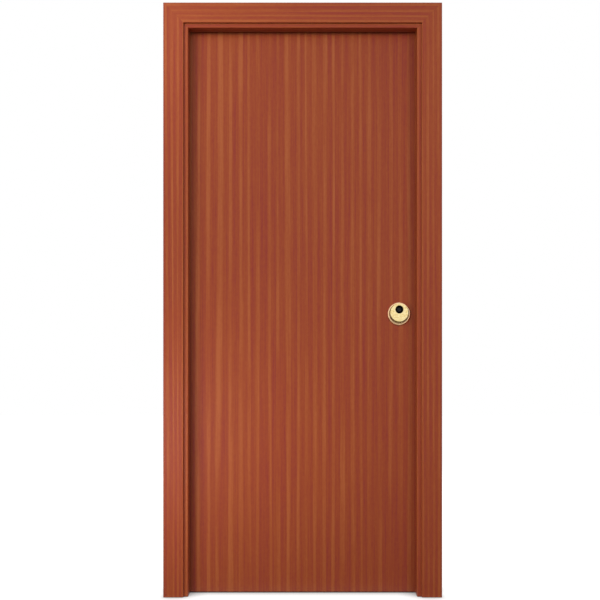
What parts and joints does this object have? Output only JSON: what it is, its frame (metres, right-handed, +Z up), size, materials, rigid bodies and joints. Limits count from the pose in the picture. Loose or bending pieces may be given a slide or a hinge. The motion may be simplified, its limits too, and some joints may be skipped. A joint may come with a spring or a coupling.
{
  "type": "front door",
  "caption": "Flush wood-veneered front door leaf on butt hinges in a rebated timber frame, with mitred architraves and a round brass keyhole escutcheon.",
  "frame": {"origin": "on the hinge jamb's wall face, at floor level, at half the jamb's depth", "axes": "+X from the hinge side to the lock side, +Y from the outside to the inside, +Z up"},
  "size_m": [1.011, 0.138, 2.126],
  "materials": {
    "leaf_veneer": "satin",
    "frame_wood": "satin",
    "lipping_wood": "satin",
    "core_board": "matte",
    "seal_rubber": "matte",
    "hinge_brass": "satin",
    "escutcheon_brass": "polished",
    "cylinder_steel": "satin",
    "lock_steel": "satin"
  },
  "bodies": {
    "frame": {"hinge_jamb": "frame_wood", "lock_jamb": "frame_wood", "head_jamb": "frame_wood", "front_architrave_hinge_side": "frame_wood", "front_architrave_lock_side": "frame_wood", "front_architrave_head": "frame_wood", "back_architrave_hinge_side": "frame_wood", "back_architrave_lock_side": "frame_wood", "back_architrave_head": "frame_wood", "seal_hinge_side": "seal_rubber", "seal_lock_side": "seal_rubber", "seal_head": "seal_rubber", "strike_plate": "lock_steel", "bottom_hinge_frame_flap": "hinge_brass", "middle_hinge_frame_flap": "hinge_brass", "top_hinge_frame_flap": "hinge_brass", "bottom_hinge_pin": "hinge_brass", "middle_hinge_pin": "hinge_brass", "top_hinge_pin": "hinge_brass"},
    "leaf": {"leaf_core": "core_board", "front_panel": "leaf_veneer", "back_panel": "leaf_veneer", "hinge_edge_lipping": "lipping_wood", "lock_edge_lipping": "lipping_wood", "bottom_edge_lipping": "lipping_wood", "top_edge_lipping": "lipping_wood", "bottom_hinge_leaf_flap": "hinge_brass", "middle_hinge_leaf_flap": "hinge_brass", "top_hinge_leaf_flap": "hinge_brass", "lock_faceplate": "lock_steel", "latch_bolt": "lock_steel", "lower_dead_bolt": "lock_steel", "middle_dead_bolt": "lock_steel", "upper_dead_bolt": "lock_steel", "key_cylinder": "cylinder_steel", "front_key_plug": "cylinder_steel", "back_key_plug": "cylinder_steel", "front_escutcheon_rose": "escutcheon_brass", "front_escutcheon_cup": "escutcheon_brass", "front_guard_collar": "cylinder_steel", "back_escutcheon_rose": "escutcheon_brass", "back_escutcheon_cup": "escutcheon_brass", "back_guard_collar": "cylinder_steel"}
  },
  "joints": [
    {"name": "leaf_swing", "type": "hinge", "parent": "frame", "child": "leaf", "pos_m": [0.0325, 0.063, 1.018], "axis": [0, 0, 1], "range_deg": [0, 170]}
  ]
}
